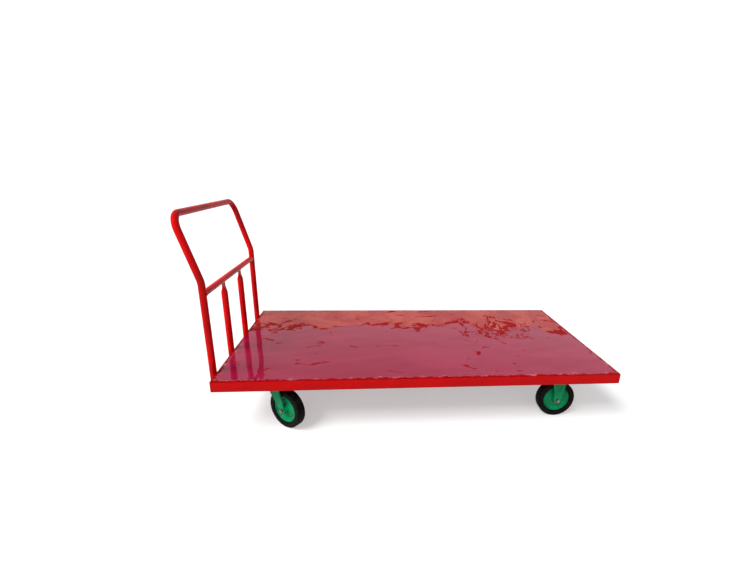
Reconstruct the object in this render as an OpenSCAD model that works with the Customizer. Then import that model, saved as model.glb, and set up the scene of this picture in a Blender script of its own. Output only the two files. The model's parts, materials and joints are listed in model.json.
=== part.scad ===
// Flat steel platform cart: a sheet deck on an angle frame, one bent push handle, two swivel
// casters under the handle end and two rigid casters under the front end.
// Millimetres, +Z up, +X to the front, handle at -X, floor at Z = 0. The origin is on the floor,
// under the middle of the whole cart's length and width.

/* [Deck and frame] */
// Length of the deck along X
deck_l = 2000; // [1600:50:2400]
// Width of the deck along Y
deck_w = 1000; // [900:50:1200]
// Thickness of the deck sheet
sheet_t = 3; // [2:0.5:5]
// Leg of the angle that the outer rails are made of
rail_leg = 50; // [45:1:70]
// Thickness of both angles
angle_t = 5; // [4:0.5:6]
// Radius of the rolled angles' inner corner
root_r = 6; // [4:0.5:8]
// Height of the deck's top face above the floor
deck_h = 285; // [280:1:310]

/* [Handle] */
// Outer diameter of the bent handle tube and of the spindles
tube_d = 32; // [28:1:38]
// Outer diameter of the crossbar
crossbar_d = 30; // [24:1:30]
// Wall of the tubes
tube_wall = 2.5; // [2:0.1:3]
// Distance between the handle's two legs, centre to centre
legs_apart = 800; // [700:10:860]
// Height of the crossbar's centre above the deck
crossbar_h = 388; // [300:2:400]
// Height above the deck at which the legs start to bend outwards
bend_h = 426; // [420:2:520]
// Bend radius of that lower bend, at the tube's centre
lower_bend_r = 120; // [80:5:160]
// Straight length of each leaning arm
arm_l = 220; // [160:10:300]
// Bend radius of the two top corners, at the tube's centre
corner_r = 70; // [50:5:100]
// Distance of each spindle from the cart's middle plane
spindle_y = 134; // [100:2:180]
// Height of the crushed flat at a spindle's top, with its taper
crush_h = 56; // [40:2:80]
// Width of the crushed flat across the cart
crush_w = 44; // [36:1:46]

/* [Casters] */
// Diameter of the wheels over the tyre
wheel_d = 200; // [190:1:202]
// Width of the tyres
tyre_w = 46; // [40:1:50]
// Diameter of the pressed wheel disc where the tyre leaves it
disc_d = 138; // [120:2:144]
// Distance of the casters from the deck's ends, to the plate's centre
caster_inset = 280; // [200:5:350]
// Distance between the left and the right caster, plate centre to plate centre
casters_apart = 800; // [700:10:820]
// Trail of the swivel casters: swivel axis to wheel axle
trail = 55; // [45:1:60]
// Length of a caster's top plate
plate_l = 135; // [120:1:140]
// Width of a caster's top plate
plate_w = 110; // [100:1:110]
// Thickness of the caster plates, forks and mounting pads
plate_t = 5; // [4:0.5:6]
// Free width between a fork's legs
fork_gap = 62; // [58:1:66]
// Diameter of the axle bolts
axle_d = 12; // [10:1:14]

/* [Hidden] */
$fn = 96;

RED = [0.85, 0.03, 0.04];
GREEN = [0.0, 0.45, 0.25];
BLACK = [0.08, 0.075, 0.07];
ZINC = [0.68, 0.69, 0.7];

// Rolled angles have rounded toes, and a cross member's ends are cut clear of a rail's round root
toe_r = 2.5;
root_clear_r = root_r + 2;

// Heights of the frame, from the floor
frame_top = deck_h - sheet_t;
frame_bottom = frame_top - rail_leg;
cross_leg = rail_leg - plate_t;
plate_bottom = frame_bottom - plate_t;

// The handle leans by the 7-24-25 triangle, so that its sine and cosine are round numbers
lean_sin = 0.28;
lean_cos = 0.96;
lean = atan2(lean_sin, lean_cos);
tube_r = tube_d / 2;
crossbar_r = crossbar_d / 2;
weld_gap = 0.5;
upright_bottom = frame_bottom + 4;
bend_z = deck_h + bend_h;
crossbar_z = deck_h + crossbar_h;
handle_reach = weld_gap + 2 * tube_r + lower_bend_r * (1 - lean_cos) + (arm_l + corner_r) * lean_sin;

// The deck's middle lies in front of the origin by half the handle's reach
deck_x = handle_reach / 2;
handle_end_x = deck_x - deck_l / 2;
front_end_x = deck_x + deck_l / 2;
upright_x = handle_end_x - weld_gap - tube_r;
leg_y = legs_apart / 2;

// Casters
wheel_r = wheel_d / 2;
swivel_x = handle_end_x + caster_inset;
rigid_x = front_end_x - caster_inset;
caster_y = casters_apart / 2;
pad_l = plate_l + 20;
pad_inner_y = caster_y - plate_w / 2 - 8;
cross_offset = pad_l / 2 - 8;
bolt_pitch_l = plate_l - 30;
bolt_pitch_w = plate_w - 30;
bolt_hole_d = 11;
plate_corner_r = 10;
cross_x = [
  swivel_x - cross_offset, swivel_x + cross_offset, deck_x,
  rigid_x - cross_offset, rigid_x + cross_offset
];
// The swivel casters stand turned by the 3-4-5 triangle's smaller angle
rest_turn = atan2(3, 4);
run_gap = 0.05;
axle_r = axle_d / 2;
pin_r = 8;
race_r = 36;
race_h = 6;
race_gap = 0.4;
crown_top = plate_bottom - 2 * race_h - race_gap;
crown_bottom = crown_top - plate_t;
fork_half = fork_gap / 2 + plate_t;
fork_corner_r = 9;
hub_half = fork_gap / 2 - 1.5;
hub_r = 20;
seal_r = 13;
seal_depth = 3;
leg_end_r = 18;
swivel_leg_half = 40;
rigid_leg_half = 38;
disc_r = disc_d / 2;
web_half = 10;
ring_depth = 3;
lip_inner = 16;
lip_t = 2.5;
rim_bed_r = disc_r - 6;
rim_bed_half = lip_inner - 3;

// Cross-section of a rolled equal angle, heel at the origin, legs along +X and -Y
module angle_section(leg) {
  difference() {
    translate([0, -leg]) square(leg);
    translate([angle_t, -angle_t]) {
      translate([root_r, -leg]) square(leg);
      translate([0, -leg - root_r]) square(leg);
      translate([root_r, -root_r]) circle(root_r);
    }
    toe_cut(leg);
    mirror([1, 1]) toe_cut(leg);
  }
}

// What rounds the toe of the leg along +X on its inner side
module toe_cut(leg) {
  difference() {
    translate([leg - toe_r, -angle_t - 1]) square(toe_r + 1);
    translate([leg - toe_r, toe_r - angle_t]) circle(toe_r);
  }
}

// One outer rail along X, outer face at Y = -half_w, with mitred ends
module mitred_rail(length, half_w) {
  intersection() {
    translate([-length / 2, -half_w, frame_top])
      rotate([90, 0, 90]) linear_extrude(length) angle_section(rail_leg);
    translate([0, 0, frame_bottom - 1]) linear_extrude(rail_leg + 2)
      polygon([
        [-length / 2, -half_w], [length / 2, -half_w],
        [length / 2 - rail_leg, rail_leg - half_w], [rail_leg - length / 2, rail_leg - half_w]
      ]);
  }
}

module deck_sheet() {
  color(RED) translate([deck_x - deck_l / 2, -deck_w / 2, frame_top]) cube([deck_l, deck_w, sheet_t]);
}

module side_rail(side) {
  color(RED) translate([deck_x, 0, 0])
    rotate([0, 0, side > 0 ? 180 : 0]) mitred_rail(deck_l, deck_w / 2);
}

module end_rail(front) {
  color(RED) translate([deck_x, 0, 0])
    rotate([0, 0, front ? 90 : -90]) mitred_rail(deck_w, deck_l / 2);
}

// A cross member reaches the side rails' upright legs. Its ends are notched round the rails' flat legs
// and cut back in a round hole at their roots.
module cross_member(i) {
  inner = deck_w / 2 - rail_leg;
  outer = deck_w / 2 - angle_t;
  facing = cross_x[i] < deck_x ? 0 : 1;
  color(RED) translate([cross_x[i], 0, frame_top]) mirror([facing, 0, 0]) difference() {
    translate([0, outer, 0]) rotate([90, 0, 0]) linear_extrude(2 * outer) angle_section(cross_leg);
    for (side = [0, 1]) mirror([0, side, 0]) {
      translate([-1, inner, -angle_t]) cube([cross_leg + 2, rail_leg, angle_t + 1]);
      translate([-1, outer, -angle_t]) rotate([0, 90, 0]) cylinder(r = root_clear_r, h = cross_leg + 2);
    }
  }
}

// The four clearance holes of a caster's bolts, about the plate's centre
module bolt_holes() {
  for (x = [-1, 1], y = [-1, 1])
    translate([x * bolt_pitch_l / 2, y * bolt_pitch_w / 2]) circle(d = bolt_hole_d);
}

// Pad that a caster is bolted to, between the side rail and the two cross members
module caster_pad(x, side) {
  outer = deck_w / 2 - angle_t - caster_y;
  inner = pad_inner_y - caster_y;
  color(RED) translate([x, side * caster_y, frame_bottom]) linear_extrude(plate_t) difference() {
    translate([-pad_l / 2, side > 0 ? inner : -outer]) square([pad_l, outer - inner]);
    bolt_holes();
  }
}

module tube_section(r) {
  difference() {
    circle(r);
    circle(r - tube_wall);
  }
}

// Both legs, the two lower bends, the leaning arms, the corner bends and the top bar, as one tube
module handle_tube() {
  color(RED) {
    for (side = [-1, 1]) translate([upright_x, side * leg_y, upright_bottom])
      linear_extrude(bend_z - upright_bottom) tube_section(tube_r);
    translate([upright_x - lower_bend_r, 0, bend_z]) {
      for (side = [-1, 1]) translate([0, side * leg_y, 0]) difference() {
        rotate([90, 0, 0]) rotate_extrude(angle = 2 * lean)
          translate([lower_bend_r, 0]) tube_section(tube_r);
        rotate([0, -lean, 0]) translate([0, -tube_d, 0]) cube([2 * lower_bend_r, 2 * tube_d, lower_bend_r]);
      }
      rotate([0, -lean, 0]) translate([lower_bend_r, 0, 0]) handle_top();
    }
  }
}

// The flat U above the lower bends: its arms start at Z = 0 of the leaning plane
module handle_top() {
  for (side = [0, 1]) mirror([0, side, 0]) {
    translate([0, leg_y, 0]) linear_extrude(arm_l) tube_section(tube_r);
    translate([0, leg_y - corner_r, arm_l]) rotate([90, 0, 90])
      rotate_extrude(angle = 90) translate([corner_r, 0]) tube_section(tube_r);
  }
  bar_l = legs_apart - 2 * corner_r;
  translate([0, -bar_l / 2, arm_l + corner_r]) rotate([-90, 0, 0])
    linear_extrude(bar_l) tube_section(tube_r);
}

// Crossbar with its ends coped to the legs
module handle_crossbar() {
  color(RED) translate([upright_x, 0, crossbar_z]) difference() {
    translate([0, -leg_y, 0]) rotate([-90, 0, 0]) linear_extrude(legs_apart) tube_section(crossbar_r);
    for (side = [-1, 1]) translate([0, side * leg_y, -tube_d]) cylinder(r = tube_r, h = 2 * tube_d);
  }
}

// Upright between the end rail and the crossbar, its top crushed flat and seated under the bar
module spindle(side) {
  flat_t = 2 * tube_wall;
  flat_l = crush_h / 4;
  bar_under = crossbar_z - crossbar_r;
  round_top = bar_under - crush_h;
  color(RED) translate([upright_x, side * spindle_y, 0]) {
    translate([0, 0, upright_bottom]) linear_extrude(round_top - upright_bottom) tube_section(tube_r);
    hull() {
      translate([0, 0, round_top]) cylinder(r = tube_r, h = 0.1, $fn = 32);
      translate([-flat_t / 2, -crush_w / 2, bar_under - flat_l]) cube([flat_t, crush_w, 0.1]);
    }
    difference() {
      translate([-flat_t / 2, -crush_w / 2, bar_under - flat_l]) cube([flat_t, crush_w, flat_l + 2]);
      translate([0, -crush_w, crossbar_z]) rotate([-90, 0, 0]) cylinder(r = crossbar_r, h = 2 * crush_w);
    }
  }
}

// Fillet welds on both sides of each upright, against the end rail's outer face
module upright_welds() {
  weld_l = frame_top - upright_bottom;
  color(RED) for (y = [-leg_y, -spindle_y, spindle_y, leg_y], side = [0, 1])
    translate([upright_x, y, upright_bottom]) mirror([0, side, 0]) linear_extrude(weld_l)
      difference() {
        polygon([
          [tube_r + weld_gap, 1], [tube_r + weld_gap, tube_r * 1.08], [tube_r * 0.56, tube_r * 0.84]
        ]);
        circle(tube_r);
      }
}

// Rectangle with round corners about the origin
module rounded_plate(length, width, r) {
  square([length - 2 * r, width], center = true);
  square([length, width - 2 * r], center = true);
  for (x = [-1, 1], y = [-1, 1]) translate([x * (length / 2 - r), y * (width / 2 - r)]) circle(r);
}

module caster_plate() {
  translate([0, 0, plate_bottom]) linear_extrude(plate_t) difference() {
    rounded_plate(plate_l, plate_w, plate_corner_r);
    bolt_holes();
  }
}

// Section of a fork: a flat crown at crown_z with rounded shoulders and two straight legs
module fork_section(crown_z, foot_z) {
  inner_r = fork_corner_r - plate_t;
  inner = fork_gap / 2;
  polygon(concat(
    [[-fork_half, foot_z]],
    [for (a = [180 : -15 : 90]) [fork_corner_r - fork_half, crown_z - fork_corner_r]
      + fork_corner_r * [cos(a), sin(a)]],
    [for (a = [90 : -15 : 0]) [fork_half - fork_corner_r, crown_z - fork_corner_r]
      + fork_corner_r * [cos(a), sin(a)]],
    [[fork_half, foot_z], [inner, foot_z]],
    [for (a = [0 : 30 : 90]) [inner - inner_r, crown_z - fork_corner_r] + inner_r * [cos(a), sin(a)]],
    [for (a = [90 : 30 : 180]) [inner_r - inner, crown_z - fork_corner_r] + inner_r * [cos(a), sin(a)]],
    [[-inner, foot_z]]
  ));
}

// Side outline of a fork's legs: from the crown's edge to a round end about the axle
module leg_outline(axle_x, crown_z, front, back) {
  translate([axle_x, wheel_r]) circle(leg_end_r);
  polygon([
    [front, crown_z + 1], [front, crown_z - fork_corner_r],
    [axle_x - 0.97 * leg_end_r, wheel_r], [axle_x + 0.97 * leg_end_r, wheel_r],
    [back, crown_z - fork_corner_r], [back, crown_z + 1]
  ]);
}

// Pressed fork: its section carried along X, trimmed to the legs' side outline and drilled for the axle
module fork_body(axle_x, crown_z, front, back) {
  reach = 2 * wheel_r;
  difference() {
    intersection() {
      translate([-reach / 2, 0, 0]) rotate([90, 0, 90]) linear_extrude(reach)
        fork_section(crown_z, wheel_r - leg_end_r - 1);
      translate([0, reach / 2, 0]) rotate([90, 0, 0]) linear_extrude(reach)
        leg_outline(axle_x, crown_z, front, back);
    }
    translate([axle_x, fork_half + 1, wheel_r]) rotate([90, 0, 0])
      cylinder(r = axle_r + run_gap, h = 2 * fork_half + 2);
  }
}

// Hexagon head or nut standing on Z = 0, its far corners turned off at 30 degrees
module hex_head(corner_r, height) {
  top_r = corner_r * 0.83;
  intersection() {
    cylinder(r = corner_r, h = height, $fn = 6);
    cylinder(r1 = top_r + height / tan(30), r2 = top_r, h = height);
  }
}

// Axle bolt along Y with washers, a hexagon head and a nut outside the fork's legs
module axle_bolt() {
  washer_t = 2;
  head_t = 8;
  tip = 3;
  tip_bevel = 1;
  end = fork_half + washer_t + head_t;
  color(ZINC) rotate([-90, 0, 0]) {
    translate([0, 0, -fork_half]) cylinder(r = axle_r, h = fork_half + end + tip - tip_bevel);
    translate([0, 0, end + tip - tip_bevel]) cylinder(r1 = axle_r, r2 = axle_r - tip_bevel, h = tip_bevel);
    for (side = [0, 1]) mirror([0, 0, side]) translate([0, 0, fork_half]) {
      cylinder(r = axle_d, h = washer_t);
      translate([0, 0, washer_t]) hex_head(axle_d * 0.87, head_t);
    }
  }
}

// Pressed steel wheel about Y: hub tube with sunk bearing seals, disc with two pressed rings, rolled lip,
// and the rim bed that carries the tyre
module wheel_disc() {
  web_start = 0.4 * disc_r;
  web_l = 0.44 * disc_r;
  color(GREEN) rotate([90, 0, 0]) rotate_extrude() polygon(mirrored_section([
    [axle_r + run_gap, hub_half - seal_depth], [seal_r, hub_half - seal_depth],
    [seal_r, hub_half], [hub_r, hub_half], [hub_r + 3, web_half],
    for (s = [0 : 0.0625 : 1]) [web_start + web_l * s, web_half - ring_depth * (1 - cos(720 * s)) / 2],
    for (a = [180 : -22.5 : 0]) [disc_r - lip_t * (1 - cos(a)), lip_inner + lip_t * sin(a)],
    [rim_bed_r, rim_bed_half]
  ]));
}

// Closed section from the points of its upper half and their mirror image
function mirrored_section(points) = concat(
  points, [for (i = [len(points) - 1 : -1 : 0]) [points[i][0], -points[i][1]]]
);

// Rubber tyre about Y, seated on the rim, with rounded shoulders
module tyre() {
  half = tyre_w / 2;
  shoulder = 11;
  color(BLACK) rotate([90, 0, 0]) rotate_extrude() polygon(mirrored_section([
    [rim_bed_r, rim_bed_half], [disc_r, lip_inner], [disc_r, lip_inner + lip_t], [disc_r + 5, half - 1],
    for (a = [0 : 15 : 90])
      [wheel_r - shoulder * (1 - sin(a)), half - shoulder * (1 - cos(a))]
  ]));
}

// Places its children at a swivel caster: swivel axis at the origin, trail along +X
module at_swivel(side) {
  translate([swivel_x, side * caster_y, 0]) rotate([0, 0, side * rest_turn]) children();
}

// Places its children at a rigid caster, the axle above the origin
module at_rigid(side) {
  translate([rigid_x, side * caster_y, 0]) children();
}

// Top plate of a swivel caster, square to the deck, with the fixed half of its ball race
module swivel_plate(side) {
  color(GREEN) translate([swivel_x, side * caster_y, 0]) difference() {
    union() {
      caster_plate();
      translate([0, 0, plate_bottom - race_h]) cylinder(r1 = race_r - 3, r2 = race_r, h = race_h);
    }
    translate([0, 0, plate_bottom - race_h - 1]) cylinder(r = pin_r, h = race_h + plate_t + 2);
  }
}

// Kingpin: a shouldered pin held in the plate, with its nut below the crown
module kingpin(side) {
  nut_t = 7;
  nut_r = 14;
  nut_top = crown_bottom - race_gap;
  color(ZINC) translate([swivel_x, side * caster_y, 0]) {
    translate([0, 0, nut_top - nut_t]) cylinder(r = pin_r, h = frame_bottom - nut_top + nut_t);
    translate([0, 0, nut_top]) mirror([0, 0, 1]) hex_head(nut_r, nut_t);
  }
}

// Swivel fork with the turning half of the ball race on its crown
module swivel_fork(side) {
  color(GREEN) at_swivel(side) difference() {
    union() {
      fork_body(trail, crown_top, -swivel_leg_half, swivel_leg_half);
      translate([0, 0, crown_top]) cylinder(r1 = race_r, r2 = race_r - 3, h = race_h);
    }
    translate([0, 0, crown_bottom - 1]) cylinder(r = pin_r + run_gap, h = plate_t + race_h + 2);
  }
}

module swivel_axle(side) {
  at_swivel(side) translate([trail, 0, wheel_r]) axle_bolt();
}

module swivel_wheel(side) {
  at_swivel(side) translate([trail, 0, wheel_r]) wheel_disc();
}

module swivel_tyre(side) {
  at_swivel(side) translate([trail, 0, wheel_r]) tyre();
}

module rigid_plate(side) {
  color(GREEN) at_rigid(side) caster_plate();
}

module rigid_fork(side) {
  color(GREEN) at_rigid(side) fork_body(0, plate_bottom, -rigid_leg_half, rigid_leg_half);
}

module rigid_axle(side) {
  at_rigid(side) translate([0, 0, wheel_r]) axle_bolt();
}

module rigid_wheel(side) {
  at_rigid(side) translate([0, 0, wheel_r]) wheel_disc();
}

module rigid_tyre(side) {
  at_rigid(side) translate([0, 0, wheel_r]) tyre();
}

deck_sheet();
side_rail(1);  // side_rail_left
side_rail(-1);  // side_rail_right
end_rail(false);  // end_rail_handle
end_rail(true);  // end_rail_front
cross_member(0);  // cross_member_1
cross_member(1);  // cross_member_2
cross_member(2);  // cross_member_3
cross_member(3);  // cross_member_4
cross_member(4);  // cross_member_5
caster_pad(swivel_x, 1);  // caster_pad_handle_left
caster_pad(swivel_x, -1);  // caster_pad_handle_right
caster_pad(rigid_x, 1);  // caster_pad_front_left
caster_pad(rigid_x, -1);  // caster_pad_front_right
handle_tube();
handle_crossbar();
spindle(1);  // spindle_left
spindle(-1);  // spindle_right
upright_welds();
swivel_plate(1);  // swivel_plate_left
swivel_plate(-1);  // swivel_plate_right
kingpin(1);  // kingpin_left
kingpin(-1);  // kingpin_right
swivel_fork(1);  // swivel_fork_left
swivel_fork(-1);  // swivel_fork_right
swivel_axle(1);  // swivel_axle_left
swivel_axle(-1);  // swivel_axle_right
swivel_wheel(1);  // swivel_wheel_left
swivel_wheel(-1);  // swivel_wheel_right
swivel_tyre(1);  // swivel_tyre_left
swivel_tyre(-1);  // swivel_tyre_right
rigid_plate(1);  // rigid_plate_left
rigid_plate(-1);  // rigid_plate_right
rigid_fork(1);  // rigid_fork_left
rigid_fork(-1);  // rigid_fork_right
rigid_axle(1);  // rigid_axle_left
rigid_axle(-1);  // rigid_axle_right
rigid_wheel(1);  // rigid_wheel_left
rigid_wheel(-1);  // rigid_wheel_right
rigid_tyre(1);  // rigid_tyre_left
rigid_tyre(-1);  // rigid_tyre_right
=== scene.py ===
"""Looks of a flat platform cart: wet red enamel, green casters, rubber tyres and a white studio."""

import json
import math

import bpy
import numpy as np
from mathutils import Matrix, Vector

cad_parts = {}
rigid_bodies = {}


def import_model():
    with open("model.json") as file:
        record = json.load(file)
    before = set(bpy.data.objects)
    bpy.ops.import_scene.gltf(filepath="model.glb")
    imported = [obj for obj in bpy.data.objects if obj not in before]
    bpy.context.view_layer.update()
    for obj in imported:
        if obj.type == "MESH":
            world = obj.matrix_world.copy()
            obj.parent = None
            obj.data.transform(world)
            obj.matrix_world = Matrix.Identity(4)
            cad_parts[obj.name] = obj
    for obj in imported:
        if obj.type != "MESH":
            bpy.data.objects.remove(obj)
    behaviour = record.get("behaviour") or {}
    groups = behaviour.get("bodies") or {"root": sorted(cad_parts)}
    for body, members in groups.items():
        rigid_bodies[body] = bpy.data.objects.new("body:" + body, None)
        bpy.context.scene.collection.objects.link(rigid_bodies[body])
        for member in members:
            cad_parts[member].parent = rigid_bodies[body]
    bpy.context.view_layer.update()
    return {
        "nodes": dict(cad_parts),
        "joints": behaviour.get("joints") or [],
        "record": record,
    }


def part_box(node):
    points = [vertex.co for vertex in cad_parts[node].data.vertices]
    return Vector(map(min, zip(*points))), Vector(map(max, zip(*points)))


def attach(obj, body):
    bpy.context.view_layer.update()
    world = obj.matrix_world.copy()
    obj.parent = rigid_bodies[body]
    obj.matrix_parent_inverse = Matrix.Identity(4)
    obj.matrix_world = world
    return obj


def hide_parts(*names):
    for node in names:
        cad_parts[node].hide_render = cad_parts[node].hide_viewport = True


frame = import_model()

bl_info = {
    "name": "Platform Cart Looks",
    "version": (1, 0, 0),
    "blender": (4, 5, 0),
    "location": "View3D > Sidebar > Cart",
    "description": "Builds the visible surfaces, finishes and studio of a flat platform cart",
    "category": "Object",
}

MM = 0.001
UP = np.array([0.0, 0.0, 1.0])
SIDES = ("left", "right")
JOINTS = {joint["name"]: joint for joint in frame["joints"]}


def node_box(name):
    """Lowest and highest corner of a CAD node, as two arrays."""
    low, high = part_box(name)
    return np.array(low), np.array(high)


def middle_and_half(name):
    """Middle and half size of a CAD node, as two arrays."""
    low, high = node_box(name)
    return (low + high) / 2, (high - low) / 2


# Places and sizes that the frame gives
DECK_LOW, DECK_HIGH = node_box("deck_sheet")
(DECK_MIDDLE_X, _, _), (DECK_HALF_X, DECK_HALF_Y, _) = middle_and_half("deck_sheet")
DECK_TOP = DECK_HIGH[2]
(_, _, FRAME_BOTTOM), (_, _, FRAME_TOP) = node_box("side_rail_right")
RAIL_LEG = FRAME_TOP - FRAME_BOTTOM
CROSS_MEMBERS = [node_box(f"cross_member_{i}") for i in range(1, 6)]
(UPRIGHT_X, SPINDLE_Y, _), (TUBE_R, _, _) = middle_and_half("spindle_left")
UPRIGHT_FOOT = node_box("spindle_left")[0][2]
HANDLE_LOW, HANDLE_HIGH = node_box("handle_tube")
LEG_Y = HANDLE_HIGH[1] - TUBE_R
(_, _, CROSSBAR_Z), (_, _, CROSSBAR_R) = middle_and_half("handle_crossbar")
WHEEL_R, TYRE_HALF, _ = middle_and_half("rigid_tyre_left")[1]
DISC_R, HUB_HALF, _ = middle_and_half("rigid_wheel_left")[1]
FORK_HALF = middle_and_half("rigid_fork_left")[1][1]
PLATE_BOTTOM = node_box("rigid_plate_left")[0][2]

# Sizes of the real pieces that the frame's boxes do not give
ANGLE_T = 5 * MM
TUBE_WALL = 2.5 * MM
AXLE_R = 6 * MM
LEAN_SIN, LEAN_COS = 0.28, 0.96
LOWER_BEND_R = 120 * MM
CORNER_R = 70 * MM
CRUSH_H = 56 * MM
CRUSH_HALF_W = 22 * MM
LIP_INNER, LIP_T = 16 * MM, 2.5 * MM
ROOT_HOLE_R = 8 * MM
RIM_BED = (DISC_R - 6 * MM, LIP_INNER - 3 * MM)
BOLT_SPAN_X, BOLT_SPAN_Y = 105 * MM, 80 * MM
WELD_SINK, BEAD_DROP = 1 * MM, 1 * MM

# Fineness of the round surfaces
TUBE_SIDES = 40
FINE_SIDES = 48
LOOP_STEPS = 96
WHEEL_STEPS = 160
TYRE_STEPS = 384
ARC_STEPS = 5


class CartPaint(bpy.types.PropertyGroup):
    """Colours of the cart's finishes."""

    red: bpy.props.FloatVectorProperty(
        name="Red enamel", description="Paint of the deck, frame and handle",
        subtype="COLOR", default=(0.66, 0.001, 0.002), min=0.0, max=1.0)
    # Also serves as painted shade that darkens the frame below the deck top.
    red_deep: bpy.props.FloatVectorProperty(
        name="Red in thick coats", description="Darker red where the paint lies thick",
        subtype="COLOR", default=(0.43, 0.0006, 0.0015), min=0.0, max=1.0)
    # Red under water with a painted reflection of a pale sky mixed in.
    red_veil_painted_reflection: bpy.props.FloatVectorProperty(
        name="Wet veil", description="Red under a thin film of water",
        subtype="COLOR", default=(0.235, 0.0008, 0.028), min=0.0, max=1.0)
    # Red under water with a stronger painted reflection of a pale sky mixed in.
    veil_pale_painted_reflection: bpy.props.FloatVectorProperty(
        name="Thick wet veil", description="Red under a thicker film of water",
        subtype="COLOR", default=(0.275, 0.006, 0.044), min=0.0, max=1.0)
    green: bpy.props.FloatVectorProperty(
        name="Green enamel", description="Paint of the forks, plates and wheel discs",
        subtype="COLOR", default=(0.0002, 0.27, 0.095), min=0.0, max=1.0)
    green_deep: bpy.props.FloatVectorProperty(
        name="Green in thick coats", description="Darker green where the paint lies thick",
        subtype="COLOR", default=(0.0002, 0.19, 0.068), min=0.0, max=1.0)
    rubber: bpy.props.FloatVectorProperty(
        name="Rubber", description="Black of the tyres",
        subtype="COLOR", default=(0.003, 0.0028, 0.0026), min=0.0, max=1.0)
    dust: bpy.props.FloatVectorProperty(
        name="Road dust", description="Dry dust on tyres and low paint",
        subtype="COLOR", default=(0.11, 0.085, 0.06), min=0.0, max=1.0)
    zinc: bpy.props.FloatVectorProperty(
        name="Zinc", description="Plating of the bolts and nuts",
        subtype="COLOR", default=(0.2, 0.2, 0.195), min=0.0, max=1.0)


class CartSizes(bpy.types.PropertyGroup):
    """Sizes of the detail that the finishes add."""

    deck_sag: bpy.props.FloatProperty(
        name="Deck sag", description="How far the sheet sags between cross members",
        subtype="DISTANCE", unit="LENGTH", default=0.9 * MM, min=0.0, max=3 * MM)
    deck_ripple: bpy.props.FloatProperty(
        name="Deck ripple", description="Height of the sheet's short waves",
        subtype="DISTANCE", unit="LENGTH", default=0.12 * MM, min=0.0, max=1 * MM)
    bead_r: bpy.props.FloatProperty(
        name="Weld bead", description="Radius of the weld beads",
        subtype="DISTANCE", unit="LENGTH", default=3.2 * MM, min=1 * MM, max=6 * MM)
    tread_depth: bpy.props.FloatProperty(
        name="Tread groove", description="Depth of the tyre's round grooves",
        subtype="DISTANCE", unit="LENGTH", default=1.4 * MM, min=0.0, max=3 * MM)
    tread_grooves: bpy.props.IntProperty(
        name="Tread grooves", description="Number of round grooves on a tyre",
        default=5, min=0, max=8)
    tread_cuts: bpy.props.IntProperty(
        name="Tread cuts", description="Number of short cuts across a tyre's tread",
        default=64, min=0, max=96)


class CartStudio(bpy.types.PropertyGroup):
    """Camera and light."""

    camera_place: bpy.props.FloatVectorProperty(
        name="Camera place", description="Where the camera stands",
        subtype="TRANSLATION", unit="LENGTH", default=(-0.2147, -2.2195, 1.2263))
    camera_yaw: bpy.props.FloatProperty(
        name="Yaw", description="Turn of the view about Z, zero along +Y",
        subtype="ANGLE", default=-0.1140)
    camera_pitch: bpy.props.FloatProperty(
        name="Pitch", description="How far the view looks down", subtype="ANGLE", default=0.3206)
    camera_roll: bpy.props.FloatProperty(
        name="Roll", description="Tilt of the camera about its view",
        subtype="ANGLE", default=0.0355)
    camera_lens: bpy.props.FloatProperty(
        name="Lens", description="Focal length on a 36 mm sensor",
        default=19.37, min=8.0, max=100.0)
    camera_shift: bpy.props.FloatVectorProperty(
        name="Shift", description="Offset of the picture, in picture widths",
        size=2, default=(-0.0508, 0.0299))
    ambient: bpy.props.FloatProperty(
        name="Ambient", description="Strength of the room's even light",
        default=0.2, min=0.0, max=2.0)
    floor_tone: bpy.props.FloatProperty(
        name="Floor tone", description="Grey value of the floor as it is seen",
        default=0.97, min=0.0, max=1.0)
    floor_glow: bpy.props.FloatProperty(
        name="Floor glow", description="Share of its own light in the floor as it is seen",
        default=0.43, min=0.0, max=1.0)
    floor_bounce: bpy.props.FloatProperty(
        name="Floor bounce", description="Share of its light that the floor gives back to things",
        default=0.45, min=0.0, max=1.0)


# Surfaces as arrays

def points_at(x, y, z):
    """Points from three coordinates, each an array or one number for them all."""
    return np.stack(np.broadcast_arrays(x, y, z), axis=-1)


def circle_angles(count):
    """Angles once round a circle, without the repeated end."""
    return np.linspace(0.0, 2.0 * np.pi, count, endpoint=False)


def unit(vectors):
    """Vectors at length one."""
    return vectors / np.linalg.norm(vectors, axis=-1, keepdims=True)


def signed_power(value, power):
    """A value's size raised to a power, with its sign kept."""
    return np.sign(value) * np.abs(value) ** power


def ring_part(points, closed=False):
    """Vertices and faces of rings of points[ring, point]: the last ring joins the first where the
    part is closed, and otherwise one face covers each end."""
    count, sides = points.shape[:2]
    index = np.arange(count * sides).reshape(count, sides)
    rows = np.vstack([index, index[:1]]) if closed else index
    rows = np.hstack([rows, rows[:, :1]])
    quads = np.stack([rows[:-1, :-1], rows[1:, :-1], rows[1:, 1:], rows[:-1, 1:]], axis=-1)
    faces = quads.reshape(-1, 4).tolist()
    if not closed:
        faces += [index[0].tolist(), index[-1, ::-1].tolist()]
    return points.reshape(-1, 3), faces


def faces_outward(vertices, faces):
    """Turns a closed part's faces round where its signed volume, the sum of corner tetrahedra, is
    below zero."""
    quads = np.array([f for f in faces if len(f) == 4])
    fans = [(f[0], f[i], f[i + 1]) for f in faces if len(f) != 4 for i in range(1, len(f) - 1)]
    triangles = np.vstack([quads[:, [0, 1, 2]], quads[:, [0, 2, 3]], *([fans] if fans else [])])
    a, b, c = (vertices[triangles[:, k]] - vertices.mean(axis=0) for k in range(3))
    volume = np.einsum("ij,ij->i", a, np.cross(b, c)).sum()
    return [f[::-1] for f in faces] if volume < 0 else faces


def placed(name, data):
    """A new object with the given data, linked to the scene."""
    made = bpy.data.objects.new(name, data)
    bpy.context.scene.collection.objects.link(made)
    return made


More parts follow.
